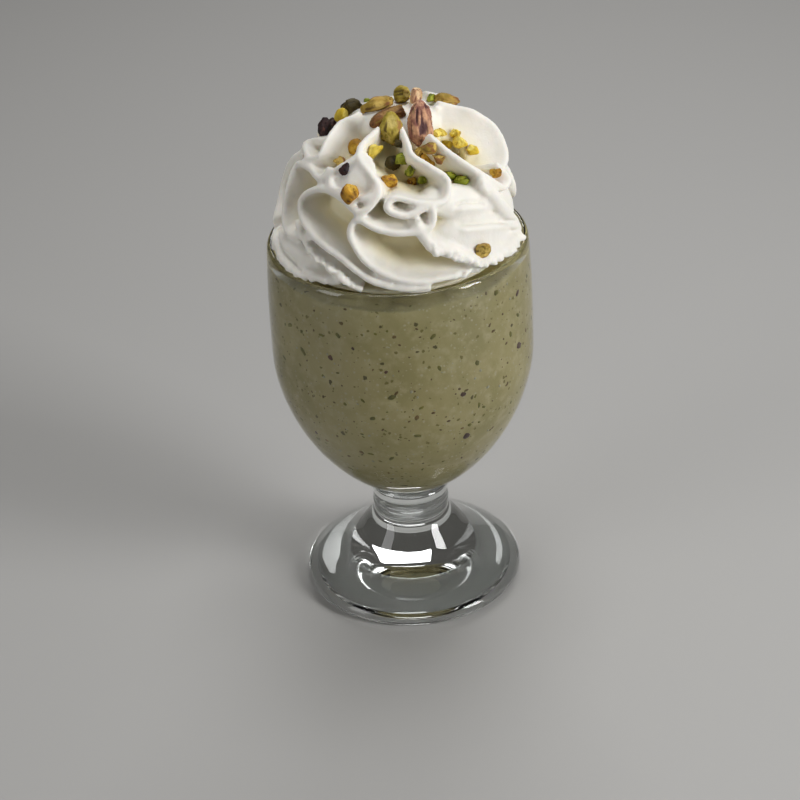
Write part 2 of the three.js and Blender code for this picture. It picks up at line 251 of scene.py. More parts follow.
def flecks_group():
    tree, given, out = new_group("flecks", [
        ("Place", "NodeSocketVector", None), ("Scale", "NodeSocketFloat", 500.0),
        ("Share", "NodeSocketFloat", 0.2), ("Size", "NodeSocketFloat", 0.35)], "Mask")
    wobble = add(tree, "ShaderNodeTexNoise", {
        "Vector": given["Place"], "Scale": given["Scale"], "Detail": 3.0, "Roughness": 0.6})
    scaled = add(tree, "ShaderNodeVectorMath", {
        0: given["Place"], "Scale": given["Scale"]}, operation="SCALE")
    shaken = add(tree, "ShaderNodeVectorMath", {
        0: wobble.outputs["Color"], 1: (0.9, 0.9, 0.9), 2: scaled.outputs["Vector"]},
        operation="MULTIPLY_ADD")
    cells = add(tree, "ShaderNodeTexVoronoi", {"Vector": shaken.outputs["Vector"], "Scale": 1.0})
    draws = add(tree, "ShaderNodeSeparateColor", {"Color": cells.outputs["Color"]})
    chosen = math_node(tree, "LESS_THAN", draws.outputs["Red"], given["Share"])
    reach = add(tree, "ShaderNodeMath", {
        0: draws.outputs["Green"], 1: given["Size"], 2: 0.12}, operation="MULTIPLY_ADD")
    edge = math_node(tree, "MULTIPLY", reach.outputs["Value"], 0.7)
    inside = add(tree, "ShaderNodeMapRange", {
        "Value": cells.outputs["Distance"], "From Min": reach.outputs["Value"],
        "From Max": edge}, interpolation_type="SMOOTHSTEP")
    tree.links.new(math_node(tree, "MULTIPLY", inside.outputs["Result"], chosen), out["Mask"])
    return tree


PATCHES = patches_group()
FLECKS = flecks_group()


def new_material(name, **constants):
    material = bpy.data.materials.new(name)
    material.use_nodes = True
    shader = material.node_tree.nodes["Principled BSDF"]
    for key, value in constants.items():
        shader.inputs[key.replace("_", " ")].default_value = value
    return material, material.node_tree, shader


def mask(tree, group, place, **values):
    node = add(tree, "ShaderNodeGroup", node_tree=group)
    tree.links.new(place, node.inputs["Place"])
    for key, value in values.items():
        node.inputs[key].default_value = value
    return node.outputs["Mask"]


def mix(tree, share, first, second):
    node = add(tree, "ShaderNodeMix", data_type="RGBA")
    for socket, value in ((node.inputs[0], share), (node.inputs[6], first), (node.inputs[7], second)):
        if isinstance(value, bpy.types.NodeSocket):
            tree.links.new(value, socket)
        else:
            socket.default_value = value
    return node.outputs[2]


def bump(tree, shader, height, distance, strength):
    node = add(tree, "ShaderNodeBump", {"Height": height, "Distance": distance, "Strength": strength})
    tree.links.new(node.outputs["Normal"], shader.inputs["Normal"])


print("made the groups", PATCHES.name, "and", FLECKS.name)

# %% [markdown]
# ## The glass
# A goblet like this is blown or pressed in a mould and turns round one axis. Half of its
# outline, drawn point by point and spun round the axis, gives the whole of it: the hollow
# bowl, the thick floor, the waisted stem and the foot with its shallow hollow below. A real
# wall with an inside and an outside bends light as glass does; one thin skin would not.

# %% Outline values, in millimetres
GLASS_HEIGHT = 126
BOWL_RADIUS = 41.98
BOWL_WIDEST = 87.3
BOWL_DROP = 53.6
BOWL_POWER = 1.744
BOWL_START = 35.4
RIM_RADIUS = 40.7
WALL = 2.1
BOWL_FLOOR = 42
FOOT_RADIUS = 36.2
FOOT_REST = 33
FOOT_HOLLOW = 3.5
AROUND = 160


def bowl_radius(height):
    if height > BOWL_WIDEST:
        share = (height - BOWL_WIDEST) / (GLASS_HEIGHT - BOWL_WIDEST)
        return BOWL_RADIUS - (BOWL_RADIUS - RIM_RADIUS) * share ** 3
    share = (BOWL_WIDEST - height) / BOWL_DROP
    return BOWL_RADIUS * (1 - share ** BOWL_POWER) ** (1 / BOWL_POWER)


def wall_inside(height):
    if height > BOWL_WIDEST:
        return bowl_radius(height) - WALL
    share = min(1, (BOWL_WIDEST - height) / (BOWL_WIDEST - BOWL_FLOOR))
    return (BOWL_RADIUS - WALL) * (1 - share ** BOWL_POWER) ** (1 / BOWL_POWER)


def heights_up(low, high, count):
    """Closer together near the bottom, where the bowl turns fastest."""
    return [low + (high - low) * (1 - math.cos(i / count * math.pi / 2)) for i in range(count + 1)]


# %% Smooth paths through a few points
SPAN_CUTS = 16


def smooth_path(points, step):
    """A centripetal curve through the points, cut into even steps."""
    spots = [Vector(p) for p in points]
    spots = [2 * spots[0] - spots[1]] + spots + [2 * spots[-1] - spots[-2]]
    fine = []
    for a, b, c, d in zip(spots, spots[1:], spots[2:], spots[3:]):
        t1 = (b - a).length ** 0.5
        t2 = t1 + (c - b).length ** 0.5
        t3 = t2 + (d - c).length ** 0.5
        for k in range(SPAN_CUTS):
            t = t1 + (t2 - t1) * k / SPAN_CUTS
            ab = a.lerp(b, t / t1)
            bc = b.lerp(c, (t - t1) / (t2 - t1))
            cd = c.lerp(d, (t - t2) / (t3 - t2))
            abc = ab.lerp(bc, t / t2)
            bcd = bc.lerp(cd, (t - t1) / (t3 - t1))
            fine.append(abc.lerp(bcd, (t - t1) / (t2 - t1)))
    fine.append(spots[-2])
    along = [0.0]
    for a, b in zip(fine, fine[1:]):
        along.append(along[-1] + (b - a).length)
    count = max(4, round(along[-1] / step))
    wanted = np.linspace(0, along[-1], count + 1)
    flat = np.array([tuple(p) for p in fine])
    return np.column_stack([np.interp(wanted, along, flat[:, axis]) for axis in range(flat.shape[1])])


def profile(points, step):
    return [(r, z) for r, z, _ in smooth_path([(r, z, 0) for r, z in points], step)]


# %% Drawing and spinning the outline
def spun(name, outline, around):
    """Draws an outline point by point in the XZ plane and spins it round the Z axis."""
    bpy.ops.object.select_all(action="DESELECT")
    start = Vector((outline[0][0], 0, outline[0][1])) * MM
    bpy.ops.mesh.primitive_plane_add(size=MM, location=start)
    piece = bpy.context.object
    piece.name = name
    bpy.ops.object.transform_apply(location=True)
    edit(piece)
    bpy.ops.mesh.merge(type="CENTER")
    for (r0, z0), (r1, z1) in zip(outline, outline[1:]):
        move = Vector((r1 - r0, 0, z1 - z0)) * MM
        bpy.ops.mesh.extrude_region_move(TRANSFORM_OT_translate={"value": move})
    bpy.ops.mesh.select_all(action="SELECT")
    bpy.ops.mesh.spin(steps=around, angle=2 * math.pi, center=(0, 0, 0), axis=(0, 0, 1))
    bpy.ops.mesh.select_all(action="SELECT")
    bpy.ops.mesh.remove_doubles(threshold=0.00001)
    bpy.ops.mesh.dissolve_degenerate(threshold=0.000001)
    bpy.ops.mesh.select_all(action="SELECT")
    bpy.ops.mesh.normals_make_consistent(inside=False)
    leave_edit()
    return piece


def glass_outline():
    under = profile([
        (0, FOOT_HOLLOW), (12, FOOT_HOLLOW * 0.87), (22, FOOT_HOLLOW * 0.5), (FOOT_REST - 3.5, 0.05)], 1.6)
    foot = profile([
        (FOOT_REST - 3.5, 0.02), (FOOT_REST, 0), (FOOT_REST + 1.7, 0.12), (FOOT_RADIUS - 0.35, 1.0),
        (FOOT_RADIUS - 0.02, 2.2), (FOOT_RADIUS - 0.4, 3.5), (33, 5.9), (28.5, 8.7), (23.5, 12.2),
        (19, 16.2), (15.6, 20.4), (13.9, 22.6), (13.0, 24.3)], 0.8)
    stem = profile([
        (13.0, 24.3), (12.45, 26.2), (12.7, 28.5), (12.4, 31), (12.75, 33.6), (13.3, BOWL_START)], 0.45)
    lip = GLASS_HEIGHT - WALL / 2
    outside = [(bowl_radius(z), z) for z in heights_up(BOWL_START + 0.6, lip, 44)]
    rim = [
        (RIM_RADIUS - WALL / 2 * (1 - math.cos(a)), lip + WALL / 2 * math.sin(a))
        for a in (math.radians(18 * k) for k in range(1, 10))]
    inside = [(wall_inside(z), z) for z in reversed(heights_up(BOWL_FLOOR, lip, 44))]
    return under + foot[1:] + stem[1:] + outside + rim + inside


glass = spun("glass_goblet", glass_outline(), AROUND)

# %% [markdown]
# Clear glass is a shader with full transmission. Its colour is almost white, with a trace of
# green-grey, and it stays perfectly smooth: what is seen in it are the lights and the floor.

# %% Glass look
glass_look, glass_tree, glass_shader = new_material(
    "clear_glass", Roughness=0.0, IOR=1.5, Transmission_Weight=1.0)
glass_place = add(glass_tree, "ShaderNodeTexCoord").outputs["Object"]
glass_drift = mask(glass_tree, PATCHES, glass_place, Scale=30.0, Low=0.3, High=0.7)
glass_tint = mix(glass_tree, glass_drift, colour(250, 252, 251), colour(246, 250, 248))
glass_tree.links.new(glass_tint, glass_shader.inputs["Base Color"])
finish(glass, "glass", glass_look, "glass")

# %% [markdown]
# ## The granita
# Granita is scraped ice: a wet, pale olive slush full of ground nut. It fills the bowl, so
# its side is the inside of the wall. The piece reaches just into the wall, because a gap of
# air would turn the glass into a mirror. Its top edge rises and falls a little, and the ring
# of its top that shows round the cream is rough.

# %% Granita shape
GRANITA_LEVEL = 122
GRANITA_DIP = 1.8
GRANITA_WAVE = 0.5
GRANITA_CROWN = 0.4
LUMPS_PER_METRE = 260
ROUGH_AT_WALL = 0.35
ROUGH_INSIDE = 0.5
INTO_WALL = 0.3


def granita_edge(angle):
    small = math.sin(5 * angle + 1) + math.sin(9 * angle)
    return GRANITA_DIP * math.sin(angle) + GRANITA_WAVE * small / 2


def granita_radius(height):
    return wall_inside(height) + INTO_WALL


def granita_outline():
    side = [(granita_radius(z), z) for z in heights_up(BOWL_FLOOR, GRANITA_LEVEL, 46)]
    side[0] = (0, BOWL_FLOOR - INTO_WALL)
    level = GRANITA_LEVEL + GRANITA_CROWN
    top = [(side[-1][0] - inward, level) for inward in (0.5, 1.2, 2, 3, 4, 5.2, 6.5, 8, 10, 13)]
    return side + top + [(18, level), (8, level), (0, level)]


granita = spun("granita_fill", granita_outline(), AROUND)
spots = points_of(granita)
angles = np.arctan2(spots[:, 1], spots[:, 0])
near_top = smoothstep(GRANITA_LEVEL - 6, GRANITA_LEVEL, spots[:, 2] / MM)
wave = np.array([granita_edge(a) for a in angles])
rough = np.array([noise.fractal(Vector(p) * LUMPS_PER_METRE, 0.7, 2.0, 4) for p in spots])
inner = smoothstep(0.0, 2.5, granita_radius(GRANITA_LEVEL) - np.hypot(spots[:, 0], spots[:, 1]) / MM)
on_top = spots[:, 2] / MM > GRANITA_LEVEL - 0.1
spots[:, 2] += (wave * near_top + rough * on_top * (ROUGH_AT_WALL + ROUGH_INSIDE * inner)) * MM
move_points(granita, spots)

# %% [markdown]
# Seen close, the slush is a drift of beige and olive, with fine pale crystals, crumbs of
# green nut and dark specks of skin. The drift and the finest grain are in the colour. The
# specks that can be told apart are real grains, made further below.

# %% Granita look
granita_look, tree, shader = new_material("wet_slush", Roughness=0.42, Specular_IOR_Level=0.4)
place = add(tree, "ShaderNodeTexCoord").outputs["Object"]
base = mix(tree, mask(tree, PATCHES, place, Scale=45.0, Low=0.35, High=0.65),
           colour(194, 182, 130), colour(176, 164, 110))
base = mix(tree, mask(tree, PATCHES, place, Scale=230.0, Low=0.45, High=0.75), base, colour(204, 194, 146))
base = mix(tree, mask(tree, FLECKS, place, Scale=900.0, Share=0.30, Size=0.35), base, colour(200, 192, 152))
base = mix(tree, mask(tree, FLECKS, place, Scale=620.0, Share=0.16, Size=0.30), base, colour(136, 126, 66))
base = mix(tree, mask(tree, FLECKS, place, Scale=380.0, Share=0.05, Size=0.30), base, colour(100, 90, 44))
tree.links.new(base, shader.inputs["Base Color"])
grain = add(tree, "ShaderNodeTexNoise", {"Vector": place, "Scale": 1400.0, "Detail": 3.0}).outputs["Fac"]
bump(tree, shader, grain, 0.0002, 0.5)
finish(granita, "granita", granita_look, "granita")

# %% [markdown]
# ## The specks in the granita
# Ground nut and scraps of skin lie against the glass all round. One small lump is copied a few
# hundred times: each copy is stretched, turned and pressed flat against the wall, where it
# stands a little proud of the slush, so it shows through the glass. All copies of one colour
# are one mesh.

# %% Scattering specks
def lump():
    piece = ball(1, 1)
    points = points_of(piece)
    faces = [tuple(face.vertices) for face in piece.data.polygons]
    bpy.data.objects.remove(piece)
    return points, faces


def wall_frame(turn, height):
    """A spot on the granita's side, with the directions along, up and out."""
    radius = granita_radius(height)
    slope = granita_radius(height + 0.5) - granita_radius(height - 0.5)
    out = Vector((math.cos(turn), math.sin(turn), -slope)).normalized()
    along = Vector((-math.sin(turn), math.cos(turn), 0))
    return Vector((radius * math.cos(turn), radius * math.sin(turn), height)), along, out.cross(along), out


def specks(name, count, smallest, largest, long, seed):
    draw = random.Random(seed)
    shape, shape_faces = lump()
    points, faces = [], []
    while len(points) < count * len(shape):
        height = draw.uniform(BOWL_FLOOR + 3, GRANITA_LEVEL - 1.5)
        if draw.random() > granita_radius(height) / BOWL_RADIUS:
            continue
        spot, along, up, out = wall_frame(draw.uniform(0, 2 * math.pi), height)
        size = smallest + (largest - smallest) * draw.random() ** 2.6
        spin = draw.uniform(0, math.pi)
        first = along * math.cos(spin) + up * math.sin(spin)
        second = out.cross(first)
        thick = min(0.28, size * 0.4)
        stretch = 1 + (long - 1) * draw.random()
        offset = len(points)
        for x, y, z in shape:
            uneven = draw.uniform(0.7, 1.15) * size / 2
            points.append((spot + first * x * uneven * stretch + second * y * uneven + out * z * thick) * MM)
        faces.extend(tuple(i + offset for i in face) for face in shape_faces)
    return new_mesh(name, points, faces)


def speck_look(name, first, second, roughness):
    material, tree, shader = new_material(name, Roughness=roughness)
    place = add(tree, "ShaderNodeTexCoord").outputs["Object"]
    share = mask(tree, PATCHES, place, Scale=260.0, Low=0.4, High=0.6)
    tree.links.new(mix(tree, share, colour(*first), colour(*second)), shader.inputs["Base Color"])
    grain = add(tree, "ShaderNodeTexNoise", {"Vector": place, "Scale": 2500.0}).outputs["Fac"]
    bump(tree, shader, grain, 0.0001, 0.5)
    return material


for name, count, smallest, largest, long, slot, first, second in (
        ("specks_dark", 340, 0.3, 1.1, 2.0, "nut_skin", (106, 84, 42), (122, 98, 54)),
        ("specks_green", 240, 0.4, 2.0, 2.2, "nut_green", (138, 132, 52), (116, 114, 48)),
        ("specks_tan", 160, 0.4, 1.6, 1.8, "nut_tan", (140, 112, 62), (122, 104, 58)),
        ("specks_purple", 16, 1.0, 3.0, 1.5, "nut_skin", (108, 74, 62), (86, 60, 50)),
        ("specks_pale", 200, 0.4, 1.2, 1.5, "granita", (196, 192, 164), (182, 178, 148))):
    piece = specks(name, count, smallest, largest, long, seed=len(name) * 7 + count)
    finish(piece, slot, speck_look(name + "_look", first, second, 0.5), "granita")

# %% [markdown]
# ## The whipped cream
# The swirl was piped through a wide star nozzle. The nozzle's teeth leave thin ridges, and as
# the bag turns and sinks, each ridge folds over itself into loops and lobes. Every ridge is
# traced as a path on an imagined dome, as [turn, height, reach]: degrees from the front,
# positive to the right, millimetres up, and a share of the dome's radius. A bevelled curve
# can't keep its lip facing outwards along such a path, so a function lays rings of points
# along it. The ridges, soft lobes and a rounded middle are then melted into one skin by a
# voxel remesh.

# %% The dome the ridges end on
DOME_BASE = 124
DOME_HEIGHT = 43
DOME_RADIUS = 39
DOME_POWER = 2.5
CORE_SHARE = 0.62


def dome_radius(height):
    share = min(1, max(0, (height - DOME_BASE) / DOME_HEIGHT))
    return DOME_RADIUS * (1 - share ** DOME_POWER) ** (1 / DOME_POWER)


def on_dome(turn, height, reach=1.0):
    angle = math.radians(turn - 90)
    radius = dome_radius(height) * reach
    return Vector((radius * math.cos(angle), radius * math.sin(angle), height))


def inward_at(spot):
    radius = max(1e-6, math.hypot(spot.x, spot.y))
    flat = (radius / DOME_RADIUS) ** (DOME_POWER - 1) / DOME_RADIUS
    up = max(0, (spot.z - DOME_BASE) / DOME_HEIGHT) ** (DOME_POWER - 1) / DOME_HEIGHT
    return Vector((-flat * spot.x / radius, -flat * spot.y / radius, -up)).normalized()


def dome_share(spots):
    """1 on the dome, less inside it: how deep in the folds a point lies."""
    radius = np.hypot(spots[:, 0], spots[:, 1]) / DOME_RADIUS
    up = np.maximum(spots[:, 2] - DOME_BASE, 0) / DOME_HEIGHT
    return (radius ** DOME_POWER + up ** DOME_POWER) ** (1 / DOME_POWER)


# %% A ridge as a closed ring of points, moved along its path
RIDGE_STEP = 0.9
LIP_TURNS = [math.radians(a) for a in (-90, -60, -30, 0, 30, 60, 90)]
FLANK = [(0.3, 0.0), (0.55, 0.12), (0.8, 0.45), (1.0, 1.0)]


def ridge_rings(path, depth=13.0, rise=5.0, lip=1.05, root=2.8):
    line = [Vector(p) for p in smooth_path([on_dome(*p) for p in path], RIDGE_STEP)]
    rings = []
    for i, tip in enumerate(line):
        ahead = line[min(i + 1, len(line) - 1)] - line[max(i - 1, 0)]
        inward = inward_at(tip)
        upward = (Vector((0, 0, 1)) - inward * inward.z).normalized()
        into = inward * depth + upward * rise
        down = into.normalized()
        across = ahead.cross(into).normalized()
        uneven = 1 + 0.10 * noise.noise(tip * 0.35)
        half = lip * uneven
        middle = tip + down * half
        ring = [middle + (across * math.sin(a) - down * math.cos(a)) * half for a in LIP_TURNS]
        flank = [(share, half * 0.92 + (root - half * 0.92) * flare) for share, flare in FLANK]
        ring += [tip + into * share + across * wide for share, wide in flank]
        ring += [tip + into * share - across * wide for share, wide in reversed(flank)]
        rings.append(ring)
    return rings


def ridge_piece(name, **ridge):
    rings = ridge_rings(**ridge)
    size = len(rings[0])
    points = [p * MM for ring in rings for p in ring]
    faces = []
    for i in range(len(rings) - 1):
        for k in range(size):
            a, b = i * size + k, i * size + (k + 1) % size
            faces.append((a, b, b + size, a + size))
    faces.append(tuple(range(size))[::-1])
    faces.append(tuple(range(len(points) - size, len(points))))
    piece = new_mesh(name, points, faces)
    edit(piece)
    bpy.ops.mesh.normals_make_consistent(inside=False)
    leave_edit()
    return piece


# %% [markdown]
# The front ridges follow the real folds one by one. Behind, where the same ribbon goes on, one
# path is repeated at even turns and shaken a little, so that no two folds are the same.

# %% Ridge paths
RIDGES = [
    # the ribbon that folds down the front, left of the middle, and ends along the rim
    {"path": [(-24, 166.5), (-31, 164), (-27, 162), (-14, 158.5), (-9, 155.5), (-13, 151.5), (-19, 149.5),
              (-31, 152.8), (-46, 153.3), (-56, 149), (-53, 144.5), (-42, 139.9), (-26, 135.2), (-13, 129.5),
              (2, 126.5), (14, 125.5)]},
    # the small petal beside it
    {"path": [(-30, 162), (-39, 159), (-41.5, 156.5), (-37, 154.2), (-26, 152.9), (-15, 153.6), (-11, 155.4),
              (-11.5, 158)]},
    # the ribbon right of the middle, with two loops, that also ends along the rim
    {"path": [(20, 166.8), (15, 164.5), (15, 162.5), (24, 159.7), (32, 155.5), (26, 150.8), (12, 151.7),
              (-1, 153.5), (-5, 151), (4, 148.6), (18, 150), (17, 145), (3, 143.9), (-10, 145.3),
              (-20, 147.5), (-23, 143.5), (-15, 135.4), (-3, 130.5), (8, 128.6), (20, 127.9, 0.98),
              (32, 127.2, 0.97), (40, 127.6, 0.96)]},
    # the broad lobe on the right
    {"path": [(9, 146), (12, 142), (16, 138.2), (26, 134.7), (38, 129.9), (50, 128), (62, 127.6), (78, 128)],
     "depth": 10, "rise": 7, "lip": 1.7},
    # the near and the far edge of the big scoop at the upper right
    {"path": [(43, 165), (43, 162.4), (47, 159), (53, 155.2), (60, 151.2), (66, 147.4), (72, 145.4),
              (76, 147, 1.03), (78, 149.8), (74, 152)]},
    {"path": [(158, 162, 1.1), (150, 165.2, 1.45), (144, 165.8, 1.6), (138, 164.6, 1.35), (131, 164.2, 1.12),
              (126, 165.2, 1.22), (118, 163.6, 1.18), (112, 162.4, 1.22), (107, 157.8, 1.16), (97, 153, 1.09),
              (90, 148.6, 1.01), (84, 147, 0.94)]},
    # the blunt crest below it
    {"path": [(52, 151.5), (56, 149.5), (60, 145), (65, 139.5), (72, 134), (80, 128.5)],
     "lip": 2.4, "root": 4},
    # the fold below the scoop, at the right side
    {"path": [(98, 149), (110, 146.5), (97, 141.5), (99, 135.5), (112, 130.5), (128, 126.5)]},
    # the petals at the left
    {"path": [(-114, 166.3), (-99, 166), (-92, 165.2), (-78, 164.1), (-68, 162.6), (-61, 160), (-66, 158.3),
              (-76, 158.4), (-90, 159), (-86, 160.4, 0.93), (-78, 161.4, 0.9)]},
    {"path": [(-46, 159), (-47, 155.8), (-62, 156.6), (-76, 155), (-72, 149), (-68, 141), (-62, 137),
              (-43, 139.8)]},
    {"path": [(-60, 141, 0.95), (-50, 138.2), (-44, 136, 1.01), (-38, 133.6, 1.02), (-29, 131.3, 1.02),
              (-24, 128.6, 1.02), (-17, 125.8)], "lip": 0.8, "root": 1.8},
    {"path": [(-97, 131, 0.97), (-82, 130), (-68, 129, 1.03), (-58, 128.3, 1.05), (-46, 128, 1.05),
              (-36, 127.7, 1.03), (-27, 128)], "lip": 1.6},
    {"path": [(-84, 157, 0.97), (-96, 151, 0.97), (-100, 144, 0.97), (-95, 138, 0.97), (-84, 134)], "lip": 2},
]
BACK_RIDGE = [
    (-4, 165.5), (4, 162), (12, 157), (-6, 152), (10, 146.5), (-10, 143), (-6, 136), (10, 130), (28, 126)]
BACK_TURNS = [(124, 1), (150, 1), (176, 1), (202, 0.98), (228, 0.9)]
for i, (turn, reach) in enumerate(BACK_TURNS):
    RIDGES.append({
        "path": [(turn + t, z + math.sin(i * 2.1 + z * 0.3) * 0.8, reach) for t, z in BACK_RIDGE]})
print(len(RIDGES), "ridges")

# %% The middle of the cream, the lobes and the ragged edges
CORE_RISE = 0.8
PEAK_PLACE = (1, 9, 0)
BEAD_SMALLEST = 0.5
BEAD_GAP = 2.2


def cream_core():
    climbs = [i / 24 * math.pi / 2 for i in range(25)]
    dome = [
        (DOME_RADIUS * CORE_SHARE * max(0, math.cos(a)) ** (2 / DOME_POWER),
         DOME_BASE + DOME_HEIGHT * CORE_RISE * math.sin(a) ** (2 / DOME_POWER)) for a in climbs]
    dome[-1] = (0, dome[-1][1])
    return spun("core", [(0, 121.5), (30, 121.5), (33, 122.5), (33, DOME_BASE)] + dome, 64)


def cream_peak():
    side = profile([(14, 150), (13.5, 161), (10.5, 164.2), (6, 165.7), (0.5, 166.2)], 1)
    piece = spun("peak", [(0, 150)] + side + [(0, 166.2)], 48)
    piece.data.transform(Matrix.Translation(Vector(PEAK_PLACE) * MM))
    return piece


def lobe(turn, height, reach, wide, tall, thick, lean=0.0):
    """A broad soft bulge that hugs the dome: half its size in degrees, millimetres and reach."""
    bpy.ops.object.select_all(action="DESELECT")
    bpy.ops.mesh.primitive_uv_sphere_add(segments=48, ring_count=24, radius=1)
    piece = bpy.context.object
    spots = []
    for x, y, z in points_of(piece):
        face = math.copysign(abs(y) ** 0.7, y)
        spots.append(on_dome(turn + x * wide, height + z * tall + x * lean, reach - face * thick) * MM)
    move_points(piece, np.array(spots))
    edit(piece)
    bpy.ops.mesh.normals_make_consistent(inside=False)
    leave_edit()
    return piece


def dab(place, size):
    """A soft round dab of cream that a nut rests in."""
    return ball(3, size * MM, Vector(place) * MM)


def beads(path, largest, seed):
    """Small beads along a lip, where the cream tore instead of running smooth."""
    draw = random.Random(seed)
    made = []
    for spot in smooth_path([on_dome(*p) for p in path], BEAD_GAP):
        size = draw.uniform(BEAD_SMALLEST, largest)
        shake = Vector([draw.uniform(-0.5, 0.5) for _ in range(3)])
        made.append(ball(2, size * MM, (Vector(spot) + shake) * MM))
    return made


parts = [cream_core(), cream_peak()]
parts += [ridge_piece("ridge", **ridge) for ridge in RIDGES]
parts += [
    lobe(48, 135.4, 0.82, 31, 7.4, 0.145, -4.5),     # the broad lobe on the right
    lobe(42, 146.2, 0.80, 26, 5.4, 0.135, -4),       # the wide band above it
    lobe(54.5, 149.6, 0.93, 4, 2.8, 0.075),          # the knob that ends the crest
    lobe(80, 137, 0.84, 15, 9, 0.11, -2),            # the far side of the crest
    lobe(-25.5, 157.6, 0.88, 14, 4.8, 0.075),        # the small petal's belly
    lobe(83, 137, 0.62, 13, 12, 0.14),               # fills the gap beside the scoop
    lobe(40, 142.5, 0.58, 13, 7.5, 0.14),            # and the one behind the wide band
    lobe(4, 140, 0.66, 24, 5, 0.09),                 # fills the pocket under the right loops
    lobe(-33, 147.5, 0.66, 17, 5, 0.09),             # fills the pocket under the left loop
    lobe(-62, 131.6, 0.9, 24, 4.4, 0.12, 0.5),       # the lobe that laps over the rim at the left
]
parts += [
    dab((-20.2, 2.2, 156.2), 3.8),                   # under the dark kernel at the far left
    dab((7.2, 7, 165.2), 2.2),                       # under the pink tip of a kernel
]
TORN_EDGES = [           # the first, under the broad lobe, is torn the most
    [(16, 138), (30, 132.6), (44, 128.2), (60, 127), (76, 127.4)],
    [(-84, 129.6), (-66, 128.2, 1.02), (-50, 127.8, 1.03), (-34, 127.6, 1.02)],
    [(-44, 136), (-30, 131.6, 1.01), (-22, 127.8, 1.01)],
    [(30, 127.4, 0.97), (41, 127.4, 0.95)],
]
CREASES = [              # as [turn, height]
    [(30, 142.6), (40, 141.4), (52, 139.2), (64, 136.2), (76, 132.8)],
    [(31, 147.6), (38, 147.8), (46, 146.4), (54, 145.2)],
    [(-84, 134.5), (-72, 133.2), (-60, 131.2), (-50, 129.9), (-42, 128.6)],
]
for i, path in enumerate(TORN_EDGES):
    parts += beads(path, largest=1.0 if i else 1.4, seed=i)
print(len(parts), "shapes to melt together")

# %% [markdown]
# Melting: a voxel remesh makes one even skin round all the shapes. Then the skin is relaxed,
# a little everywhere and a lot down in the folds, where soft cream runs into smooth hollows
# while its lips stay crisp. Ripples, crumbs along the torn edges and three creases follow.
# Last, whatever would reach into the glass is held back.

# %% One skin
VOXEL = 0.69
TROUGH_PASSES = 7
LIP_PASSES = 2
RIPPLE = 0.16
CRUMB = 0.75
CREASE_FADE = 5
CLEAR_OF_GLASS = 0.3


def crease_relief(below):
    """A soft swelling just under the line of a crease, and a sharp furrow along it."""
    return 0.8 * np.exp(-((below - 1.3) / 1.2) ** 2) - 1.3 * np.exp(-((below + 0.2) / 0.6) ** 2)


cream = join("cream_swirl", parts)
apply_modifier(cream, "REMESH", mode="VOXEL", voxel_size=VOXEL * MM)
print("the skin has", triangles_of(cream), "triangles")

depth_in = 1 - dome_share(points_of(cream) / MM)
trough = cream.vertex_groups.new(name="trough")
weights = smoothstep(0.06, 0.2, depth_in)
for level in range(1, 11):
    chosen = np.nonzero(np.round(weights * 10) == level)[0]
    trough.add([int(i) for i in chosen], level / 10, "REPLACE")
apply_modifier(cream, "SMOOTH", factor=0.5, iterations=TROUGH_PASSES, vertex_group="trough")
apply_modifier(cream, "SMOOTH", factor=0.5, iterations=LIP_PASSES)
cream.vertex_groups.clear()

spots = points_of(cream) / MM
ways = normals_of(cream)
ripple = np.array([noise.noise(Vector(p) * 0.22) + 0.4 * noise.noise(Vector(p) * 0.9) for p in spots])
torn_line = np.array([p for path in TORN_EDGES for p in smooth_path([on_dome(*p) for p in path], 1)])
torn_distance = np.min([np.linalg.norm(spots - p, axis=1) for p in torn_line], axis=0)
torn = 1 - smoothstep(0.8, 4.5, torn_distance)
crumbs = np.array([noise.noise(Vector(p) * 0.75) for p in spots])
turns = np.degrees(np.arctan2(spots[:, 0], -spots[:, 1]))
outside = 1 - smoothstep(0.10, 0.22, 1 - dome_share(spots))
crease = np.zeros(len(spots))
for path in CREASES:
    line = smooth_path([(turn, height, 0) for turn, height in path], 0.5)
    below = np.interp(turns, line[:, 0], line[:, 1]) - spots[:, 2]
    first, last = line[0, 0], line[-1, 0]
    ends = smoothstep(first, first + CREASE_FADE, turns) * (1 - smoothstep(last - CREASE_FADE, last, turns))
    crease += crease_relief(below) * ends
spots += ways * (ripple * RIPPLE + crumbs * torn * CRUMB + crease * outside)[:, None]
radius = np.hypot(spots[:, 0], spots[:, 1])
below_rim = spots[:, 2] < GLASS_HEIGHT + CLEAR_OF_GLASS
allowed = np.array([wall_inside(min(z, GLASS_HEIGHT - WALL / 2)) for z in spots[:, 2]]) - CLEAR_OF_GLASS
shrink = np.where(below_rim & (radius > allowed), allowed / np.maximum(radius, 1), 1)
spots[:, :2] *= shrink[:, None]
move_points(cream, spots * MM)
# the depth in the folds, which the painted shade in the cream's colour follows
add_attribute(cream, "fold_depth", "FLOAT", np.clip(1 - dome_share(spots), 0, 1))
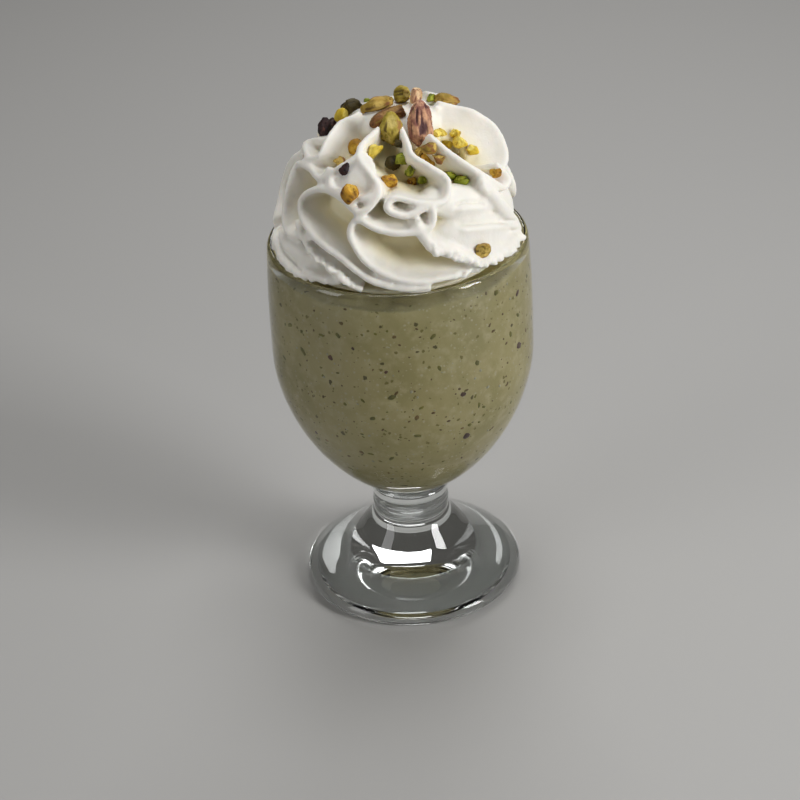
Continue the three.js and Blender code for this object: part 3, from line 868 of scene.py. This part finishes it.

# %% [markdown]
# Whipped cream is fat and air: light goes a little way in and comes back out, which softens
# every edge. Shade is painted into its colour as well: the deeper the cream lies in the folds,
# the warmer and darker it is painted, by the depth that was stored on the mesh. A fine bump
# gives the slightly dry, whipped surface.

# %% Cream look
cream_look, tree, shader = new_material(
    "whipped_cream", Roughness=0.48, Specular_IOR_Level=0.35, Subsurface_Weight=0.2,
    Subsurface_Scale=0.0016, Subsurface_Radius=(1.0, 0.7, 0.4))
place = add(tree, "ShaderNodeTexCoord").outputs["Object"]
depth = add(tree, "ShaderNodeAttribute", attribute_name="fold_depth").outputs["Fac"]
painted_fold_shade = add(tree, "ShaderNodeMapRange", {"Value": depth, "From Min": 0.05, "From Max": 0.24},
             interpolation_type="SMOOTHSTEP").outputs["Result"]
hollow = add(tree, "ShaderNodeMapRange", {"Value": depth, "From Min": 0.18, "From Max": 0.36},
             interpolation_type="SMOOTHSTEP").outputs["Result"]
base = mix(tree, mask(tree, PATCHES, place, Scale=60.0, Low=0.3, High=0.7),
           colour(243, 240, 232), colour(238, 235, 227))
# painted shade: warmer and darker down in the folds, darkest in the deepest hollows
base = mix(tree, painted_fold_shade, base, colour(232, 223, 188))
base = mix(tree, hollow, base, colour(224, 211, 166))
tree.links.new(base, shader.inputs["Base Color"])
fine = add(tree, "ShaderNodeTexNoise", {"Vector": place, "Scale": 1500.0, "Detail": 2.0}).outputs["Fac"]
pores = mask(tree, FLECKS, place, Scale=700.0, Share=0.05, Size=0.25)
bump(tree, shader, math_node(tree, "SUBTRACT", fine, pores), 0.00012, 0.45)
finish(cream, "cream", cream_look, "whipped_cream")

# %% [markdown]
# ## The pistachios
# A shelled kernel is a long, slightly flattened nut, narrower at one end, with a seam along
# it. Some still wear their red-brown skin, dry and wrinkled along the length; others show
# yellow-green flesh with scraps of skin. Each starts as a ball stretched to the kernel's
# three sizes. Broken ones are pressed flat along planes, as a knife leaves them. The skin's
# wrinkles run along the nut, so each keeps its own unturned coordinates for the pattern to
# follow.


# %% Nut shapes
VOXELS_ACROSS = 14
LARGEST_VOXEL = 0.35
NARROWING = 0.16
SEAM_DEPTH = 0.05
SEAM_WIDTH = 0.16


def stretched_ball(name, size, subdivisions):
    piece = ball(subdivisions, 0.5)
    piece.name = name
    edit(piece)
    bpy.ops.transform.resize(value=[side * MM for side in size])
    leave_edit()
    return piece


def cut_facets(piece, size, count, depth, draw):
    """Presses caps flat in random directions, as a knife leaves them."""
    spots = points_of(piece) / MM
    for _ in range(count):
        way = np.array(Vector([draw.gauss(0, 1) for _ in range(3)]).normalized())
        reach = Vector([way[i] * size[i] / 2 for i in range(3)]).length
        over = spots @ way - reach * (1 - depth * draw.uniform(0.7, 1.2))
        spots -= np.maximum(over, 0)[:, None] * way
    move_points(piece, spots * MM)


def laid(piece, turn, climb, roll, at):
    """Turns the nut's narrow end towards turn, raises it by climb, and puts it in place."""
    spin = (Matrix.Rotation(math.radians(turn - 90), 4, "Z") @ Matrix.Rotation(math.radians(-climb), 4, "Y")
            @ Matrix.Rotation(math.radians(roll), 4, "X"))
    piece.data.transform(Matrix.Translation(Vector(at) * MM) @ spin)


def shaped_nut(name, size, detail, cuts, depth, wrinkle, soft, seed):
    draw = random.Random(seed)
    piece = stretched_ball(name, size, detail)
    cut_facets(piece, size, cuts, depth, draw)
    voxel = min(LARGEST_VOXEL, min(size) / VOXELS_ACROSS) * MM
    apply_modifier(piece, "REMESH", mode="VOXEL", voxel_size=voxel)
    apply_modifier(piece, "SMOOTH", factor=0.5, iterations=soft)
    spots = points_of(piece) / MM
    ways = normals_of(piece)
    length, width, thick = size
    cut = smoothstep(0.12, 0.3, 1 - ((2 * spots / np.array(size)) ** 2).sum(axis=1)) * (cuts > 0)
    shift = Vector((seed * 3.7, seed * 1.3, seed * 2.1))
    furrow = np.zeros(len(spots))
    for i, (x, y, z) in enumerate(spots):
        place = Vector((x, y, z))
        narrow = 1 - NARROWING * 2 * x / length
        around = math.atan2(y / width, z / thick)
        lumps = noise.noise(place * (3.2 / length) + shift) * 0.09 * min(width, thick)
        seam = -SEAM_DEPTH * thick * math.exp(-(around / SEAM_WIDTH) ** 2) * (1 - abs(2 * x / length) ** 3)
        stripes = Vector((x * 0.16, y * 0.85, z * 0.85)) + shift
        furrow[i] = abs(noise.noise(stripes))
        lines = -furrow[i] * wrinkle
        fine = noise.noise(place * 2.6 + shift) * wrinkle * 0.4
        fine += abs(noise.noise(place * 1.1 + shift)) * cut[i] * -0.5
        spots[i, 1:] *= narrow
        spots[i] += ways[i] * (lumps + seam + lines + fine)
    move_points(piece, spots * MM)
    add_attribute(piece, "grain", "FLOAT_VECTOR", spots * MM + np.array(shift) * 0.01)
    add_attribute(piece, "furrow", "FLOAT", furrow)
    add_attribute(piece, "cut", "FLOAT", cut)
    return piece


# %% [markdown]
# ## Nut finishes
# One recipe serves all nuts: a flesh colour that drifts between two shades, patches of dry
# skin over it, painted shade in the deepest wrinkles and the dented lines, a paler crumb where
# the nut is cut, and a dusty roughness.


# %% Nut looks
def nut_look(name, skin_low, *shades):
    flesh, flesh_two, skin, dark, inside = [colour(*shade) for shade in shades]
    material, tree, shader = new_material(name, Roughness=0.6, Specular_IOR_Level=0.28)
    grain = add(tree, "ShaderNodeAttribute", attribute_name="grain").outputs["Vector"]
    furrow = add(tree, "ShaderNodeAttribute", attribute_name="furrow").outputs["Fac"]
    cut = add(tree, "ShaderNodeAttribute", attribute_name="cut").outputs["Fac"]
    along = add(tree, "ShaderNodeMapping", {"Vector": grain, "Scale": (0.4, 1.0, 1.0)}).outputs["Vector"]
    base = mix(tree, mask(tree, PATCHES, grain, Scale=320.0, Low=0.38, High=0.62), flesh, flesh_two)
    scraps = mask(tree, PATCHES, along, Scale=420.0, Low=skin_low, High=skin_low + 0.10)
    base = mix(tree, scraps, base, skin)
    # painted shade: the deepest furrows and the dented lines get the dark colour
    folds = add(tree, "ShaderNodeMapRange", {"Value": furrow, "From Min": 0.22, "From Max": 0.62},
                interpolation_type="SMOOTHSTEP").outputs["Result"]
    lines = mask(tree, PATCHES, along, Scale=1100.0, Low=0.58, High=0.80)
    base = mix(tree, math_node(tree, "MAXIMUM", folds, lines), base, dark)
    crumbly = mask(tree, PATCHES, grain, Scale=700.0, Low=0.35, High=0.5)
    base = mix(tree, math_node(tree, "MULTIPLY", cut, crumbly), base, inside)
    tree.links.new(base, shader.inputs["Base Color"])
    fine = add(tree, "ShaderNodeTexNoise", {"Vector": along, "Scale": 1600.0, "Detail": 4.0}).outputs["Fac"]
    bump(tree, shader, math_node(tree, "SUBTRACT", fine, lines), 0.0003, 0.6)
    return material


# Each takes where its patches of skin start, two shades of flesh, then the skin, the painted
# shade for the wrinkles and dented lines, and the cut inside.
SKIN_NUT = nut_look("nut_in_skin", 0.56, (212, 162, 126), (144, 94, 82), (216, 180, 120),
                    (82, 50, 50), (206, 158, 124))
DARK_NUT = nut_look("nut_dark", 0.62, (54, 34, 34), (42, 28, 30), (112, 72, 62),
                    (32, 22, 24), (62, 40, 38))
PINK_NUT = nut_look("nut_pink", 0.55, (222, 178, 140), (192, 142, 112), (222, 194, 136),
                    (124, 76, 64), (232, 200, 158))
GREEN_NUT = nut_look("nut_green", 0.55, (186, 164, 70), (150, 132, 44), (166, 120, 66),
                     (98, 80, 28), (202, 182, 104))
OLIVE_NUT = nut_look("nut_olive", 0.52, (184, 150, 70), (150, 124, 44), (138, 92, 52),
                     (96, 70, 26), (206, 176, 92))
TAN_NUT = nut_look("nut_tan", 0.57, (146, 100, 54), (118, 78, 42), (168, 140, 64),
                   (78, 48, 28), (170, 130, 72))
# dark olive; on the bits in the shade under the kernels its darkness is partly painted shade
GREY_NUT = nut_look("nut_grey", 0.60, (82, 72, 38), (64, 56, 32), (112, 90, 38),
                    (42, 36, 24), (92, 80, 42))
YELLOW_NUT = nut_look("nut_yellow", 0.66, (232, 206, 84), (214, 184, 54), (180, 140, 46),
                      (168, 134, 34), (242, 222, 112))
BRIGHT_NUT = nut_look("nut_bright", 0.60, (130, 138, 28), (98, 108, 18), (120, 96, 36),
                      (66, 74, 12), (164, 170, 56))
AMBER_NUT = nut_look("nut_amber", 0.56, (192, 142, 40), (156, 112, 28), (124, 76, 32),
                     (98, 60, 20), (216, 172, 64))

# %% Large kernels: name, solid, place, size, turn, climb, cuts, look, slot
KERNEL_ROLL = 47
KERNELS = [
    ("front_skin", "in_skin", (8.6, -5, 165.2), (15, 8, 7.4), 180, 60, 0, SKIN_NUT, "nut_skin"),
    ("front_green", "green", (-0.3, -7, 165), (11.5, 8.4, 7.2), 175, 58, 7, GREEN_NUT, "nut_green"),
    ("across", "across", (-0.5, 1.5, 165), (13.5, 6.2, 5.6), 105, 18, 4, TAN_NUT, "nut_tan"),
    ("left", "left", (-4, 7.6, 166.4), (10.5, 6.8, 6), 100, 12, 6, OLIVE_NUT, "nut_green"),
    ("top", "top", (3.9, 10.2, 168.4), (6.8, 5.6, 5), 60, 20, 6, GREEN_NUT, "nut_green"),
    ("tip", "tip", (7.8, 6.2, 169.5), (7.5, 4.4, 4), 20, 65, 5, PINK_NUT, "nut_skin"),
    ("back_left", "back_left", (-12, 11.2, 164.8), (7.4, 5.6, 5), 100, 12, 6, GREY_NUT, "nut_tan"),
    ("far_left", "far_left", (-20.3, 4, 161.4), (6.6, 4.8, 4.2), 170, 60, 5, DARK_NUT, "nut_skin"),
    ("back_right", "back_right", (17.3, 14, 163.6), (8.8, 5.6, 5), 95, -5, 6, OLIVE_NUT, "nut_green"),
]
for seed, (name, node, at, size, turn, climb, cuts, look, slot) in enumerate(KERNELS, start=1):
    wrinkle = 0.6 if look is SKIN_NUT else 0.42
    nut = shaped_nut(f"nut_{name}", size, 4, cuts, depth=0.24, wrinkle=wrinkle, soft=1, seed=seed)
    laid(nut, turn, climb, seed * KERNEL_ROLL, at)
    finish(nut, slot, look, f"kernel_{node}")

# %% [markdown]
# ## The chopped bits
# Chopped nut is thrown on and sticks where it hits. Each bit flies straight from far in front,
# or far behind, through a chosen spot in the middle plane, and stops at the cream, sunk in by
# a quarter of its thickness. Bits of one colour are joined into one piece.

# %% Bits: x, height and size, thrown from the front and from behind
FRONT = Vector((0, -559, 405))
BEHIND = Vector((0, 500, 405))
BITS = {
    "bits_yellow": (YELLOW_NUT, "nut_green", [
        (13, 159.6, 3.4), (16.5, 155.8, 5.2), (18.8, 159.2, 4), (20.5, 155.9, 5.4), (24.1, 153.3, 4.6),
        (15.1, 159.5, 3), (-7, 154.8, 6), (-14, 167.1, 5.4)], [(5, 158, 3.4)]),
    "bits_green": (BRIGHT_NUT, "nut_green", [
        (16.8, 146.1, 4.6), (20.7, 142.8, 5.6), (3.2, 151.5, 4.4), (5.5, 148.4, 4.4), (8.8, 144.9, 3.6),
        (11.9, 170.7, 3.6)], [(-7, 152, 3.6)]),
    "bits_olive": (OLIVE_NUT, "nut_green", [
        (12.2, 155.3, 5.2), (14.5, 151.6, 4.4), (8.8, 153.9, 3.8), (-16.9, 152, 4.2), (25.6, 118.4, 6.2)],
        [(12, 150, 3.6)]),
    # the two dark olive bits lie in the shade under the kernels: their dark colour is partly their own and
    # partly painted shade
    "bits_brown": (GREY_NUT, "nut_tan", [(0.4, 149.4, 6), (2.6, 156.9, 3.8)], []),
    "bits_amber": (AMBER_NUT, "nut_tan", [
        (30.9, 146.3, 4.4), (10.5, 150.5, 5.2), (5.3, 143.7, 4), (-2.6, 144.2, 6.4), (-13.9, 140.1, 6.4),
        (-11.5, 155.7, 6.2)], []),
    "bits_dark": (DARK_NUT, "nut_skin", [(-14.9, 149.2, 4), (-17.8, 164.1, 4.6)], [(-3, 146, 3.2)]),
}
BIT_SIDES = (1.15, 0.92, 0.78)
BIT_THICKNESS = 0.75
SUNK = 0.25
FIRST_BIT_SEED = 100

landing = BVHTree.FromObject(cream, bpy.context.evaluated_depsgraph_get())


def thrown_on(start, x, height):
    """Where a bit thrown from start through (x, 0, height) hits the cream, and which way is out."""
    way = Vector((x, 0, height)) - start
    spot, out, _, _ = landing.ray_cast(start * MM, way)
    return spot / MM, out


seed = FIRST_BIT_SEED
for name, (look, slot, front, behind) in BITS.items():
    made = []
    throws = [(FRONT, target) for target in front] + [(BEHIND, target) for target in behind]
    for start, (x, height, size) in throws:
        seed += 1
        draw = random.Random(seed)
        sides = tuple(size * share for share in BIT_SIDES)
        bit = shaped_nut("bit", sides, 3, cuts=8, depth=0.33, wrinkle=0.14, soft=0, seed=seed)
        spot, out = thrown_on(start, x, height)
        middle = spot + out * size * BIT_THICKNESS * (0.5 - SUNK)
        laid(bit, draw.uniform(0, 360), draw.uniform(0, 60), 0, middle)
        made.append(bit)
        print(f"{name}: [{spot.x:.1f}, {spot.y:.1f}, {spot.z:.1f}, {size}]")
    finish(join(name, made), slot, look, "whipped_cream")

# %% [markdown]
# ## Floor and light
# The stage is a plain pale floor under soft studio light. The strongest light stands low at
# the right, so that the folds show; weaker ones fill from above, the left and behind.

# %% Stage
FLOOR_SIZE = 6
WORLD_COLOUR = (0.90, 0.87, 0.81, 1)
WORLD_STRENGTH = 0.08

bpy.ops.object.select_all(action="DESELECT")
bpy.ops.mesh.primitive_plane_add(size=FLOOR_SIZE)
floor = bpy.context.object
floor.name = "floor"
floor_look, tree, shader = new_material("pale_floor", Roughness=0.6)
shader.inputs["Base Color"].default_value = colour(176, 175, 173)
floor.data.materials.append(floor_look)


def soft_light(name, place, width, height, power, aim=(0, 0, 0.11)):
    bpy.ops.object.light_add(type="AREA", location=place)
    light = bpy.context.object
    light.name = name
    light.data.shape = "RECTANGLE"
    light.data.size = width
    light.data.size_y = height
    light.data.energy = power
    light.rotation_mode = "QUATERNION"
    light.rotation_quaternion = (Vector(aim) - Vector(place)).to_track_quat("-Z", "Y")


soft_light("key", (0.76, -0.42, 0.44), 0.28, 0.42, 6.6)
soft_light("top", (0.05, 0.15, 0.95), 0.4, 0.4, 3)
soft_light("left", (-0.72, -0.4, 0.36), 0.3, 0.6, 1.8)
soft_light("back", (0.1, 0.8, 0.7), 0.5, 0.3, 2)

world = bpy.data.worlds.new("studio")
world.use_nodes = True
world.node_tree.nodes["Background"].inputs["Color"].default_value = WORLD_COLOUR
world.node_tree.nodes["Background"].inputs["Strength"].default_value = WORLD_STRENGTH
bpy.context.scene.world = world
bpy.context.scene.view_settings.view_transform = "Standard"
